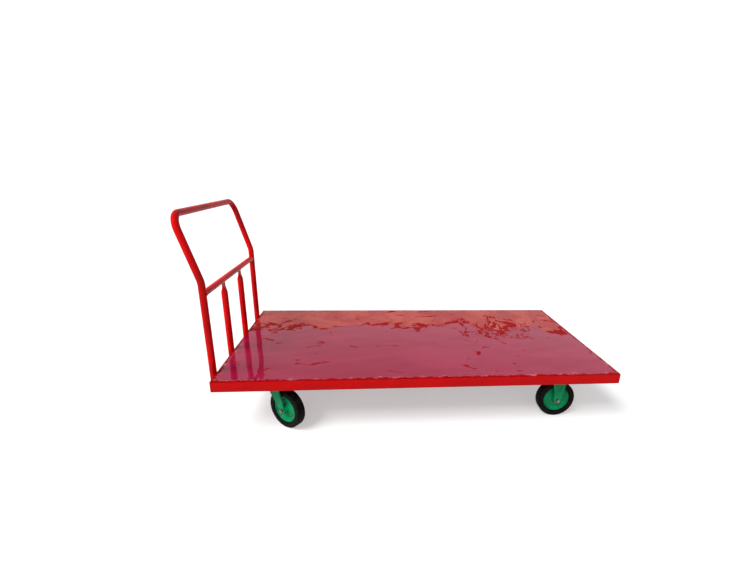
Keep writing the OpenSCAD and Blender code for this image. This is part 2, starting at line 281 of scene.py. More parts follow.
def build_piece(name, parts, material, body, replaces=(), sharp=40.0):
    """One mesh object from closed parts, shaded smooth up to the sharp angle, riding on a body."""
    vertices, faces, start = [], [], 0
    for part_vertices, part_faces in parts:
        vertices.append(part_vertices)
        faces += [[i + start for i in f] for f in faces_outward(part_vertices, part_faces)]
        start += len(part_vertices)
    mesh = bpy.data.meshes.new(name)
    mesh.from_pydata(np.vstack(vertices).tolist(), [], faces)
    mesh.polygons.foreach_set("use_smooth", np.ones(len(mesh.polygons), dtype=bool))
    mesh.set_sharp_from_angle(angle=math.radians(sharp))
    mesh.materials.append(material)
    mesh.validate()
    mesh.update()
    piece = placed(name, mesh)
    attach(piece, body)
    if replaces:
        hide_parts(*replaces)
    return piece


def path_frames(path, reference, closed=False):
    """Two directions square to a path at each point: the reference made square to the tangent, and
    the tangent crossed with that."""
    if closed:
        tangent = unit(np.roll(path, -1, axis=0) - np.roll(path, 1, axis=0))
    else:
        tangent = unit(np.gradient(path, axis=0))
    reference = np.broadcast_to(np.asarray(reference, float), path.shape)
    first = unit(reference - (reference * tangent).sum(axis=1, keepdims=True) * tangent)
    return first, np.cross(tangent, first)


def square_to(direction):
    """Two directions square to a unit direction and to each other."""
    near_upright = abs(direction[2]) > 0.9
    first = unit(np.cross([1.0, 0.0, 0.0] if near_upright else UP, direction))
    return first, np.cross(direction, first)


def round_section(path, radius, frames, sides):
    """Circles of the given radius, one number or one per point, carried along a path."""
    angle = circle_angles(sides)[None, :, None]
    first, second = (direction[:, None] for direction in frames)
    radius = np.broadcast_to(np.asarray(radius, float), path.shape[:1])[:, None, None]
    return path[:, None] + radius * (np.cos(angle) * first + np.sin(angle) * second)


def rounded_outline(corners, radii):
    """A closed outline with each corner replaced by an arc of its radius, tangent to both edges."""
    corners, radii = np.asarray(corners, float), np.asarray(radii, float)
    back = unit(np.roll(corners, 1, axis=0) - corners)
    ahead = unit(np.roll(corners, -1, axis=0) - corners)
    half = np.arccos(np.clip((back * ahead).sum(axis=1), -1, 1)) / 2
    centre = corners + unit(back + ahead) * (radii / np.sin(half))[:, None]
    start = corners + back * (radii / np.tan(half))[:, None] - centre
    end = corners + ahead * (radii / np.tan(half))[:, None] - centre
    share = np.linspace(0, 1, ARC_STEPS)[None, :, None]
    arc = unit(start[:, None] * (1 - share) + end[:, None] * share)
    return (centre[:, None] + arc * radii[:, None, None]).reshape(-1, 2)


def revolve_part(section, centre, axle, count=WHEEL_STEPS, sink=0.0):
    """A closed (radius, along) section turned about an axle through a centre; sink, one number or
    sink[angle, point], is taken off the radius."""
    side = np.cross(UP, axle)
    angle = circle_angles(count)[:, None]
    spoke = np.cos(angle) * side + np.sin(angle) * UP
    radius = section[None, :, 0] - sink
    points = centre + radius[..., None] * spoke[:, None] + section[None, :, 1:] * axle
    return ring_part(points, closed=True)


def bead_part(path, radius, reference, closed, ripples):
    """A weld bead: a tube along a path whose radius rises and falls with the welder's steps; open
    ends taper away."""
    sides, valley, ripple, taper_power, tip = 10, 0.88, 0.14, 8, 0.02
    share = np.linspace(0, 1, len(path), endpoint=not closed)
    swell = radius * (valley + ripple * np.abs(np.sin(np.pi * ripples * share)))
    if not closed:
        swell = swell * np.sqrt(np.clip(1 - (2 * share - 1) ** taper_power, tip, 1))
    points = round_section(path, swell, path_frames(path, reference, closed), sides)
    return ring_part(points, closed)


def hex_part(centre, direction, across, height, turn):
    """A hexagon nut or bolt head: the hexagon's radius, cut by a chamfer's cone at the far end."""
    cone_start, chamfer, middle = 1.16, 0.192, 1e-3
    angle = circle_angles(FINE_SIDES)
    flat = across / 2 / np.cos((angle % (np.pi / 3)) - np.pi / 6)
    share = np.array([0.0, 0.0, 0.55, 0.8, 0.9, 1.0, 1.0])
    shrink = np.array([middle, 1.0, 1.0, 1.0, 1.0, 1.0, middle])
    cone = across / 2 * (cone_start - chamfer * np.clip(2 * share - 1, 0, 1))
    radius = np.minimum(flat[None], cone[:, None]) * shrink[:, None]
    first, second = square_to(direction)
    spoke = np.cos(angle + turn)[:, None] * first + np.sin(angle + turn)[:, None] * second
    level = (share * height)[:, None, None]
    points = centre + level * direction + radius[:, :, None] * spoke[None]
    return ring_part(points)


def disc_part(centre, direction, levels, radii, sides=TUBE_SIDES):
    """A turned solid: circles of given radii at given distances along a unit direction."""
    path = centre + np.asarray(levels, float)[:, None] * direction
    frames = [np.broadcast_to(side, path.shape) for side in square_to(direction)]
    points = round_section(path, radii, frames, sides)
    return ring_part(points)


# Materials

class Nodes:
    """Short calls for the nodes of one tree; a socket given as a value is linked."""

    def __init__(self, tree):
        self.tree = tree

    def feed(self, socket, value):
        """Links or sets one socket; colours are given without their opacity."""
        if isinstance(value, bpy.types.NodeSocket):
            self.tree.links.new(value, socket)
        else:
            socket.default_value = (*value, 1.0) if socket.type == "RGBA" else value

    def add(self, kind, values=None, **settings):
        """A node with its settings and socket values."""
        made = self.tree.nodes.new(kind)
        for key, value in settings.items():
            setattr(made, key, value)
        for key, value in (values or {}).items():
            self.feed(made.inputs[key], value)
        return made

    def math(self, operation, first, second=0.0):
        """One step of arithmetic."""
        made = self.add("ShaderNodeMath", {0: first, 1: second}, operation=operation)
        return made.outputs["Value"]

    def mix(self, factor, first, second):
        """First node's shader where the factor is 0, second's where it is 1."""
        return self.add("ShaderNodeMixShader", {
            0: factor, 1: first.outputs[0], 2: second.outputs[0]})

    def seen(self):
        """One where a ray comes from the camera, a reflection or a clear surface, zero for light
        that falls on things."""
        path = self.add("ShaderNodeLightPath").outputs
        mirrored = self.math("MAXIMUM", path["Is Camera Ray"], path["Is Glossy Ray"])
        return self.math("MAXIMUM", mirrored, path["Is Transmission Ray"])


class Shader(Nodes):
    """A material with one Principled shader, patterned by the object's own place."""

    def __init__(self, name):
        self.material = bpy.data.materials.new(name)
        self.material.use_nodes = True
        super().__init__(self.material.node_tree)
        self.bsdf = self.tree.nodes["Principled BSDF"]
        self.place = self.add("ShaderNodeTexCoord").outputs["Object"]

    def axis(self, name):
        """The place along X, Y or Z."""
        return self.add("ShaderNodeSeparateXYZ", {"Vector": self.place}).outputs[name]

    def noise(self, scale, detail=4.0, roughness=0.5, distortion=0.0, stretch=None):
        """Noise between 0 and 1 over the place, stretched along its axes if asked."""
        place = self.place
        if stretch is not None:
            mapping = self.add("ShaderNodeMapping", {"Vector": place, "Scale": stretch})
            place = mapping.outputs["Vector"]
        return self.add("ShaderNodeTexNoise", {
            "Vector": place, "Scale": scale, "Detail": detail, "Roughness": roughness,
            "Distortion": distortion}).outputs["Fac"]

    def span(self, value, low, high, to_low=0.0, to_high=1.0):
        """A value's stretch from low to high, carried smoothly to another stretch."""
        return self.add("ShaderNodeMapRange", {
            "Value": value, "From Min": low, "From Max": high, "To Min": to_low, "To Max": to_high},
            interpolation_type="SMOOTHSTEP").outputs["Result"]

    def blend(self, factor, first, second):
        """First colour where the factor is 0, second where it is 1."""
        made = self.add("ShaderNodeMix", {0: factor, 6: first, 7: second}, data_type="RGBA")
        return made.outputs[2]

    def bump(self, height, distance, strength=1.0, normal=None):
        """Surface relief of a height map, over another relief if one is given."""
        values = {"Height": height, "Distance": distance, "Strength": strength}
        if normal is not None:
            values["Normal"] = normal
        return self.add("ShaderNodeBump", values).outputs["Normal"]

    def shine(self, **values):
        """Sets or links the shader's own sockets; underscores stand for spaces."""
        for key, value in values.items():
            self.feed(self.bsdf.inputs[key.replace("_", " ")], value)
        return self.material


# Colours of the marks in the finishes
DRY_DECK = (0.24, 0.0005, 0.0012)
SHALLOW_RED, SHALLOW_PALE = (0.30, 0.010, 0.012), (0.40, 0.048, 0.030)
SHALLOW_SPECK = (0.22, 0.006, 0.006)
# Pink-white painted highlight along the water film's edge.
PAINTED_LIP_HIGHLIGHT = (0.5, 0.20, 0.25)
BARE_CHIP = (0.06, 0.055, 0.05)
RUBBER_SCUFF = (0.012, 0.0115, 0.011)
ZINC_BLOOM = (0.10, 0.095, 0.085)

# A thin coat gives the gloss, so the base keeps its colour in the white room
BASE_GLOSS = 0.02
WATER_IOR = 1.33


def brushed_red(s, paint):
    """Brushed-on red enamel: slow colour drift, painted shade that darkens the frame below the
    deck top, orange peel and faint dust low on the frame."""
    height = s.axis("Z")
    drift = s.span(s.noise(5.0, 3.0), 0.35, 0.65)
    colour = s.blend(drift, paint.red_deep, paint.red)
    streak = s.span(s.noise(60.0, 5.0, 0.6, stretch=(0.12, 1.0, 1.0)), 0.62, 0.78, 0.0, 0.25)
    colour = s.blend(streak, colour, paint.red_deep)
    # Painted shade: the frame below the deck top is blended towards the deeper red.
    frame_painted_shade = s.span(height, FRAME_TOP - 1 * MM, FRAME_TOP + 12 * MM, 0.7, 0.0)
    colour = s.blend(frame_painted_shade, colour, paint.red_deep)
    low = s.span(height, FRAME_BOTTOM, FRAME_BOTTOM + 14 * MM, 1.0, 0.0)
    grime = s.math("MULTIPLY", low, s.span(s.noise(35.0, 6.0, 0.65), 0.42, 0.7, 0.0, 0.16))
    return s.shine(
        Base_Color=s.blend(grime, colour, paint.dust),
        Roughness=s.span(s.noise(9.0, 5.0), 0.3, 0.7, 0.2, 0.35),
        Normal=s.bump(s.noise(420.0, 2.0), 0.05 * MM, 0.5),
        Specular_IOR_Level=BASE_GLOSS, Coat_Weight=0.12, Coat_Roughness=0.08)


def water_masks(s):
    """Where rain water lies on the deck: the top face, the distance from the film's ragged rim, the
    thin film beyond the shore, and the film less its bare patches and runs."""
    sheet_middle, crossing = (DECK_TOP + FRAME_TOP) / 2, 0.1 * MM
    rim, rim_wander = 12 * MM, 12 * MM
    shore_y, shore_wander = 0.17, 0.17
    run_place, run_reach = (0.58, 0.14, DECK_TOP), 0.19
    x, y = s.axis("X"), s.axis("Y")
    upper = s.span(s.axis("Z"), sheet_middle - crossing, sheet_middle + crossing)
    from_middle = s.math("ABSOLUTE", s.math("SUBTRACT", x, DECK_MIDDLE_X))
    from_end = s.math("SUBTRACT", DECK_HALF_X, from_middle)
    from_side = s.math("SUBTRACT", DECK_HALF_Y, s.math("ABSOLUTE", y))
    ragged = s.span(s.noise(38.0, 6.0, 0.65, 0.8), 0.3, 0.7, -rim_wander, rim_wander)
    from_rim = s.math("ADD", s.math("MINIMUM", from_end, from_side), ragged)
    inside = s.math("MULTIPLY", upper, s.span(from_rim, rim, rim + 2 * MM))

    wander = s.span(s.noise(3.4, 9.0, 0.62, 0.7), 0.25, 0.75, -shore_wander, shore_wander)
    shore = s.math("ADD", y, wander)
    thin = s.span(shore, shore_y, shore_y + 0.01)
    from_shore = s.math("ABSOLUTE", s.math("SUBTRACT", shore, shore_y + 0.02))
    by_shore = s.span(from_shore, 0.0, 0.08, 0.2, 0.0)
    pools = s.math("ADD", s.noise(8.0, 8.0, 0.6, 1.5, stretch=(0.6, 1.3, 1.0)), by_shore)
    patch = s.span(pools, 0.635, 0.645)

    branches = s.noise(9.0, 5.0, 0.55, 0.3, stretch=(1.6, 0.7, 1.0))
    vein = s.math("ABSOLUTE", s.math("SUBTRACT", branches, 0.5))
    distance = s.add("ShaderNodeVectorMath", {0: s.place, 1: run_place}, operation="DISTANCE")
    around = s.span(s.noise(7.0, 4.0), 0.3, 0.7, -0.1, 0.1)
    from_spot = s.math("ADD", distance.outputs["Value"], around)
    near_spot = s.span(from_spot, run_reach, run_reach + 0.03, 1.0, 0.0)
    run = s.math("MULTIPLY", s.span(vein, 0.03, 0.037, 1.0, 0.0), near_spot)
    bare = s.math("MAXIMUM", patch, run)
    return upper, from_rim, thin, s.math("MULTIPLY", inside, s.math("SUBTRACT", 1.0, bare))


def wet_red(s, paint):
    """Deck enamel under rain water: an even film, its colour a painted pale sky reflection over the
    red, that stops short of the rim in a ragged painted highlight line and thins out at a ragged
    shore towards the far side, with bare red patches along that shore and thin bare runs."""
    upper, from_rim, thin, film = water_masks(s)
    # The film's colour: red under water with a painted pale sky reflection, clouded by noise.
    cloud = s.span(s.noise(3.0, 6.0, 0.55, 0.6, stretch=(0.5, 1.6, 1.0)), 0.38, 0.64)
    deep = s.blend(cloud, paint.red_veil_painted_reflection, paint.veil_pale_painted_reflection)
    # Brown-red blotches and specks in the thin zone beyond the shore.
    far_blotch = s.span(s.noise(5.0, 5.0, 0.58, 0.5, stretch=(1.2, 0.8, 1.0)), 0.36, 0.64)
    shallow = s.blend(far_blotch, SHALLOW_RED, SHALLOW_PALE)
    speck = s.span(s.noise(90.0, 6.0, 0.7, 0.3), 0.46, 0.62)
    shallow = s.blend(s.math("MULTIPLY", speck, 0.5), shallow, SHALLOW_SPECK)
    dry = s.blend(upper, paint.red_deep, DRY_DECK)
    colour = s.blend(film, dry, s.blend(thin, deep, shallow))
    # A broken pale line just inside the film's rim: a painted highlight of the water's edge.
    rising = s.span(from_rim, 10 * MM, 13 * MM)
    lip = s.math("MULTIPLY", rising, s.span(from_rim, 15 * MM, 19 * MM, 1.0, 0.0))
    broken = s.span(s.noise(17.0, 5.0, 0.7), 0.45, 0.62, 0.0, 0.6)
    lip = s.math("MULTIPLY", s.math("MULTIPLY", upper, lip), broken)
    relief = s.bump(film, 0.3 * MM, 0.6)
    return s.shine(
        Base_Color=s.blend(lip, colour, PAINTED_LIP_HIGHLIGHT),
        Roughness=s.span(film, 0.0, 1.0, 0.45, 0.25),
        Normal=s.bump(s.noise(500.0, 2.0), 0.03 * MM, 0.2, relief),
        Specular_IOR_Level=BASE_GLOSS,
        Coat_Weight=s.math("MULTIPLY", film, s.span(thin, 0.0, 1.0, 0.65, 0.38)),
        Coat_Roughness=0.03, Coat_IOR=WATER_IOR)


def dipped_green(s, paint):
    """Dipped green enamel on pressed steel, with dust in its lower parts and a few bare chips."""
    drift = s.span(s.noise(22.0, 4.0), 0.35, 0.65)
    colour = s.blend(drift, paint.green_deep, paint.green)
    low = s.span(s.axis("Z"), 20 * MM, 160 * MM, 0.09, 0.01)
    dirt = s.math("MULTIPLY", low, s.span(s.noise(70.0, 6.0, 0.65), 0.45, 0.72))
    colour = s.blend(dirt, colour, paint.dust)
    chips = s.span(s.noise(190.0, 3.0, 0.7), 0.74, 0.76)
    return s.shine(
        Base_Color=s.blend(chips, colour, BARE_CHIP),
        Roughness=s.span(s.noise(40.0, 5.0), 0.3, 0.7, 0.2, 0.32),
        Normal=s.bump(s.noise(520.0, 2.0), 0.05 * MM, 0.4),
        Specular_IOR_Level=BASE_GLOSS, Coat_Weight=0.16, Coat_Roughness=0.1)


def dusty_rubber(s, paint):
    """Black rubber with brown-grey dust and paler scuffs."""
    most_dust = 0.13
    dusty = s.span(s.noise(34.0, 7.0, 0.68), 0.46, 0.76, 0.0, most_dust)
    colour = s.blend(dusty, paint.rubber, paint.dust)
    scuff = s.span(s.noise(160.0, 5.0, 0.7), 0.6, 0.75, 0.0, 0.25)
    return s.shine(
        Base_Color=s.blend(scuff, colour, RUBBER_SCUFF),
        Roughness=s.span(dusty, 0.0, most_dust, 0.4, 0.75),
        Normal=s.bump(s.noise(600.0, 4.0, 0.6), 0.12 * MM, 0.5),
        Specular_IOR_Level=0.035)


def zinc_plate(s, paint):
    """Zinc with a cloudy bloom and a fine grain."""
    most_bloom = 0.5
    bloom = s.span(s.noise(420.0, 5.0, 0.6), 0.4, 0.7, 0.0, most_bloom)
    return s.shine(
        Base_Color=s.blend(bloom, paint.zinc, ZINC_BLOOM), Metallic=1.0,
        Roughness=s.span(bloom, 0.0, most_bloom, 0.28, 0.5),
        Normal=s.bump(s.noise(900.0, 3.0), 0.04 * MM, 0.4))


FINISHES = {make.__name__: make for make in (
    brushed_red, wet_red, dipped_green, dusty_rubber, zinc_plate)}


def finish(name):
    """The named finish, made once."""
    made = bpy.data.materials.get(name)
    return made or FINISHES[name](Shader(name), bpy.context.scene.cart_paint)


# Deck and frame

# The deck's short waves: turns per metre along X and along Y, in radians, and their start
RIPPLES = ((41, 13, 0.0), (-19, 57, 1.3), (23, 31, 0.7))


def deck_part(sizes):
    """The deck sheet: a flat slab whose height is a sag between the cross members, sine squared
    along X and cosine across Y, plus crossed short sine waves; its edges have a small chamfer."""
    edge, columns, rows = 0.6 * MM, 181, 91
    calm_rim, wide_bay = 50 * MM, 0.6
    x = np.linspace(DECK_LOW[0] + edge, DECK_HIGH[0] - edge, columns)
    x = np.concatenate([[DECK_LOW[0]], x, [DECK_HIGH[0]]])
    y = np.linspace(DECK_LOW[1] + edge, DECK_HIGH[1] - edge, rows)
    inset = np.zeros_like(x)
    inset[[0, -1]] = edge
    bays = np.sort([DECK_LOW[0], *(low[0] for low, _ in CROSS_MEMBERS), DECK_HIGH[0]])
    bay = np.clip(np.searchsorted(bays, x, side="right") - 1, 0, len(bays) - 2)
    width = bays[bay + 1] - bays[bay]
    along = np.sin(np.pi * (x - bays[bay]) / width) ** 2 * np.minimum(1.0, width / wide_bay)
    across = np.cos(np.pi * y / (2 * DECK_HALF_Y))
    rim = np.clip((DECK_HALF_Y - np.abs(y)) / calm_rim, 0, 1)
    waves = sum(np.sin(by_x * x[:, None] + by_y * y[None] + start) for by_x, by_y, start in RIPPLES)
    wave = -sizes.deck_sag * along[:, None] * across[None] + sizes.deck_ripple * waves * rim[None]
    top = DECK_TOP + wave - inset[:, None]
    bottom = FRAME_TOP + np.minimum(wave, 0) + inset[:, None]
    low_y, high_y = (DECK_LOW[1] + inset)[:, None], (DECK_HIGH[1] - inset)[:, None]
    y_rows = np.clip(y[None], low_y + edge, high_y - edge)
    side_high = np.stack([top[:, -1] - edge, bottom[:, -1] + edge], axis=1)
    side_low = np.stack([bottom[:, 0] + edge, top[:, 0] - edge], axis=1)
    ring_y = np.hstack([y_rows, high_y, high_y, y_rows[:, ::-1], low_y, low_y])
    ring_z = np.hstack([top, side_high, bottom[:, ::-1], side_low])
    points = points_at(x[:, None], ring_y, ring_z)
    return ring_part(points)


def angle_outline(leg):
    """Rolled angle's section as (inward, down) points: crisp heel, round toes and a round root."""
    corners = [(0, 0), (leg, 0), (leg, ANGLE_T), (ANGLE_T, ANGLE_T), (ANGLE_T, leg), (0, leg)]
    edge, toe = 0.6 * MM, 2.5 * MM
    return rounded_outline(corners, [1.5 * MM, edge, toe, 6 * MM, toe, edge])


def rail_part(inward):
    """A mitred rail on the deck's side that faces inward: the angle's section carried along that
    side, each end cut back by a point's inward distance."""
    half = np.array([DECK_HALF_X, DECK_HALF_Y, 0.0])
    centre = np.array([DECK_MIDDLE_X, 0.0, FRAME_TOP]) - inward * half
    along = np.cross(inward, UP)
    section = angle_outline(RAIL_LEG)
    reach = abs(along @ half) - section[:, 0]
    share = np.array([-1.0, -0.5, 0.0, 0.5, 1.0])[:, None]
    points = (centre + (share * reach)[..., None] * along
              + section[None, :, :1] * inward - section[None, :, 1:] * UP)
    return ring_part(points)


# Handle

def arc_points(end_angle, count):
    """Cosine and sine along an arc from zero, without its first point."""
    angle = np.linspace(0.0, end_angle, count)[1:]
    return np.cos(angle), np.sin(angle)


def handle_path():
    """Centreline from one foot to the other: a straight leg, a bend in the upright plane, then the
    leaning plane's arm, quarter-circle corner and half of the bar, mirrored for the other side."""
    leg_steps, bend_steps, arm_steps, corner_steps, bar_steps = 24, 12, 12, 22, 16
    top_z = HANDLE_HIGH[2] - TUBE_R
    bar_x = HANDLE_LOW[0] + TUBE_R
    rise = (UPRIGHT_X - bar_x - LOWER_BEND_R * (1 - LEAN_COS)) / LEAN_SIN
    bend_z = top_z - rise * LEAN_COS - LOWER_BEND_R * LEAN_SIN
    leg = points_at(UPRIGHT_X, LEG_Y, np.linspace(UPRIGHT_FOOT, bend_z, leg_steps))
    c, s = arc_points(math.atan2(LEAN_SIN, LEAN_COS), bend_steps)
    bend = points_at(UPRIGHT_X - LOWER_BEND_R * (1 - c), LEG_Y, bend_z + LOWER_BEND_R * s)
    arm = np.linspace(0, rise - CORNER_R, arm_steps)[1:]
    c, s = arc_points(np.pi / 2, corner_steps)
    bar_y = np.linspace(LEG_Y - CORNER_R, 0.0, bar_steps)[1:]
    run = np.concatenate([arm, rise - CORNER_R + CORNER_R * s, np.full_like(bar_y, rise)])
    y = np.concatenate([np.full_like(arm, LEG_Y), LEG_Y - CORNER_R * (1 - c), bar_y])
    upper = points_at(bend[-1, 0] - run * LEAN_SIN, y, bend[-1, 2] + run * LEAN_COS)
    half = np.vstack([leg, bend, upper])
    return np.vstack([half, half[-2::-1] * np.array([1.0, -1.0, 1.0])])


def handle_part():
    """The bent tube: its outer circle carried along the centreline and its inner circle carried
    back."""
    path = handle_path()
    frames = path_frames(path, (1.0, 0.0, 0.0))
    outer = round_section(path, TUBE_R, frames, TUBE_SIDES)
    inner = round_section(path, TUBE_R - TUBE_WALL, frames, TUBE_SIDES)[::-1]
    return ring_part(np.vstack([outer, inner]), closed=True)


def crossbar_part():
    """The crossbar: circles along Y whose ends follow the legs' round faces, sunk into them a
    little."""
    rings = 21
    angle = circle_angles(TUBE_SIDES)
    x, z = CROSSBAR_R * np.cos(angle), CROSSBAR_R * np.sin(angle)
    end = LEG_Y - np.sqrt(TUBE_R ** 2 - x ** 2) + WELD_SINK
    points = points_at(UPRIGHT_X + x, np.linspace(-1, 1, rings)[:, None] * end, CROSSBAR_Z + z)
    return ring_part(points)


def spindle_part(y):
    """A spindle: a tube whose circle is pressed, over the crushed height, into a flat rounded strip
    that meets the crossbar's underside; its foot is open."""
    hollow, straight_rings, crush_rings, pressed_share = 90 * MM, 20, 28, 0.8
    strip_half, flat_power, round_power = 2.6 * MM, 0.35, 0.8
    angle = circle_angles(FINE_SIDES)
    bar_under = CROSSBAR_Z - CROSSBAR_R
    crush_start = bar_under - CRUSH_H
    z = np.concatenate([
        [UPRIGHT_FOOT + hollow, UPRIGHT_FOOT, UPRIGHT_FOOT],
        np.linspace(UPRIGHT_FOOT, crush_start, straight_rings)[1:],
        np.linspace(crush_start, bar_under + WELD_SINK, crush_rings)[1:]])
    radius = np.full_like(z, TUBE_R)
    radius[:2] = TUBE_R - TUBE_WALL
    press = np.clip((z - crush_start) / (CRUSH_H * pressed_share), 0, 1)
    press = (press ** 2 * (3 - 2 * press))[:, None]
    c, s = np.cos(angle), np.sin(angle)
    x = (1 - press) * radius[:, None] * c + press * strip_half * signed_power(c, flat_power)
    wide = (1 - press) * radius[:, None] * s + press * CRUSH_HALF_W * signed_power(s, round_power)
    points = points_at(UPRIGHT_X + x, y + wide, z[:, None])
    return ring_part(points)


# Welds

def saddle_path(side):
    """Line where the crossbar meets a leg: a circle about Y, set back by the leg's roundness."""
    angle = circle_angles(LOOP_STEPS)
    x = CROSSBAR_R * np.cos(angle)
    y = side * (LEG_Y - np.sqrt(TUBE_R ** 2 - x ** 2))
    return points_at(UPRIGHT_X + x, y, CROSSBAR_Z + CROSSBAR_R * np.sin(angle))


def strip_path(y):
    """Line round a spindle's flat top on the crossbar: a long rounded loop laid on the bar's
    underside."""
    half_x, half_y, flat_power, round_power = 3.4 * MM, CRUSH_HALF_W + 0.5 * MM, 0.5, 0.7
    angle = circle_angles(LOOP_STEPS)
    x = half_x * signed_power(np.cos(angle), flat_power)
    wide = half_y * signed_power(np.sin(angle), round_power)
    return points_at(UPRIGHT_X + x, y + wide, CROSSBAR_Z - np.sqrt(CROSSBAR_R ** 2 - x ** 2))


def handle_welds(sizes):
    """Beads round the crossbar's ends and round the spindles' flat tops."""
    end_ripples, top_ripples, thin = 22, 24, 0.75
    ends = [bead_part(saddle_path(side), sizes.bead_r, (0, 1, 0), True, end_ripples)
            for side in (-1, 1)]
    tops = [bead_part(strip_path(y), thin * sizes.bead_r, (0, 0, 1), True, top_ripples)
            for y in (-SPINDLE_Y, SPINDLE_Y)]
    return ends + tops


def foot_welds(sizes):
    """Upright beads in the corners between the end rail and each upright's two sides."""
    off_rail, off_middle, thick, steps, ripples = 2.6 * MM, 0.82 * TUBE_R, 1.35, 60, 11
    z = np.linspace(UPRIGHT_FOOT, FRAME_TOP - BEAD_DROP, steps)
    parts = []
    for y in (-LEG_Y, -SPINDLE_Y, SPINDLE_Y, LEG_Y):
        for side in (-1, 1):
            path = points_at(DECK_LOW[0] - off_rail, y + side * off_middle, z)
            parts.append(bead_part(path, thick * sizes.bead_r, (1, 0, 0), False, ripples))
    return parts


def frame_welds(sizes):
    """Beads inside the frame: down each cross member's ends and in stitches along the rails' flat
    legs."""
    end_steps, end_ripples, stitch_steps, stitch_ripples = 48, 9, 36, 8
    stitches, stitch_half, from_end, thin = 9, 20 * MM, 160 * MM, 0.8
    parts = []
    for low, high in CROSS_MEMBERS:
        upright_leg = low[0] if low[0] < DECK_MIDDLE_X else high[0]
        z = np.linspace(low[2] + 2 * MM, FRAME_TOP - ANGLE_T - ROOT_HOLE_R, end_steps)
        for y in (low[1], high[1]):
            path = points_at(upright_leg, y, z)
            parts.append(bead_part(path, sizes.bead_r, (1, 0, 0), False, end_ripples))
    inner_y = DECK_HIGH[1] - RAIL_LEG
    for x in np.linspace(DECK_LOW[0] + from_end, DECK_HIGH[0] - from_end, stitches):
        line = np.linspace(x - stitch_half, x + stitch_half, stitch_steps)
        for side in (-1, 1):
            path = points_at(line, side * inner_y, FRAME_TOP - BEAD_DROP)
            parts.append(bead_part(path, thin * sizes.bead_r, (0, 0, 1), False, stitch_ripples))
    return parts


# Casters

def tyre_section(sizes):
    """Section of a tyre as (radius, along) points: rim seat, bulged wall with a raised line, round
    shoulder and a crown cut by evenly spaced grooves with cosine sides."""
    shoulder, foot, bulge, line_place, line_width = 7 * MM, 5 * MM, 1 * MM, 0.35, 0.08
    crown_steps, groove_edge, groove_power = 61, 0.72, 0.6
    seat = np.array([
        RIM_BED, (DISC_R, LIP_INNER), (DISC_R, LIP_INNER + LIP_T),
        (DISC_R + 1.5 * MM, TYRE_HALF - 2.5 * MM), (DISC_R + foot, TYRE_HALF - bulge)])
    step = np.linspace(0, 1, 10)[1:-1]
    line = np.exp(-((step - line_place) / line_width) ** 2)
    wall = np.stack([
        DISC_R + foot + step * (WHEEL_R - shoulder - DISC_R - foot),
        TYRE_HALF - bulge + bulge * np.sin(np.pi / 2 * step) + bulge * line], axis=1)
    turn = np.linspace(0, np.pi / 2, 14)
    corner = np.stack([
        WHEEL_R - shoulder * (1 - np.sin(turn)), TYRE_HALF - shoulder * (1 - np.cos(turn))], axis=1)
    crown_half = TYRE_HALF - shoulder
    along = np.linspace(crown_half, -crown_half, crown_steps)[1:-1]
    pitch = 2 * crown_half / max(sizes.tread_grooves, 1)
    phase = np.cos(2 * np.pi * (along + crown_half) / pitch - np.pi)
    groove = np.clip((phase - groove_edge) / (1 - groove_edge), 0, 1) ** groove_power
    crown = np.stack([WHEEL_R - sizes.tread_depth * groove, along], axis=1)
    half = np.vstack([seat, wall, corner])
    return np.vstack([half, crown, half[::-1] * np.array([1, -1])])


def tread_cuts(section, sizes):
    """How far the tread is cut across, by angle and section point: a narrow wave in the angle,
    slanted along the axle, on the crown alone."""
    depth_share, slant, cut_edge = 0.35, 5.0, 0.3
    angle = circle_angles(TYRE_STEPS)[:, None]
    wave = np.cos(sizes.tread_cuts * angle + slant * section[None, :, 1] / TYRE_HALF)
    crown = np.clip((section[None, :, 0] - WHEEL_R + 1.2 * MM) / (0.8 * MM), 0, 1)
    cut = np.clip((wave - cut_edge) / (1 - cut_edge), 0, 1)
    return depth_share * sizes.tread_depth * cut * crown


def wheel_section():
    """Section of a pressed wheel as (radius, along) points: hub tube with sunk seals, a web whose
    two rings are a cosine in its radius, a half-round lip and the rim bed; corners are arcs."""
    seal, sunk, web, ring = 13 * MM, HUB_HALF - 3 * MM, 10 * MM, 3 * MM
    bore, hub_r, foot_r = AXLE_R + 0.2 * MM, 20 * MM, 23 * MM
    disc, disc_width = 0.4 * DISC_R, 0.44 * DISC_R
    corners = [(bore, sunk), (seal, sunk), (seal, HUB_HALF), (hub_r, HUB_HALF), (foot_r, web),
               (disc, web), (disc, 0.0), (bore, 0.0)]
    radii = np.array([0.2, 0.5, 0.6, 1.2, 3.0, 0.2, 0.2, 0.2]) * MM
    hub = rounded_outline(corners, radii)[ARC_STEPS:5 * ARC_STEPS]
    step = np.linspace(0, 1, 61)
    rings = np.stack([
        disc + disc_width * step, web - ring * (1 - np.cos(4 * np.pi * step)) / 2], axis=1)
    turn = np.linspace(np.pi, 0, 15)
    lip = np.stack([
        DISC_R - LIP_T * (1 - np.cos(turn)), LIP_INNER + LIP_T * np.sin(turn)], axis=1)
    half = np.vstack([corners[:1], hub, rings, lip, [RIM_BED]])
    return np.vstack([half, half[::-1] * np.array([1, -1])])


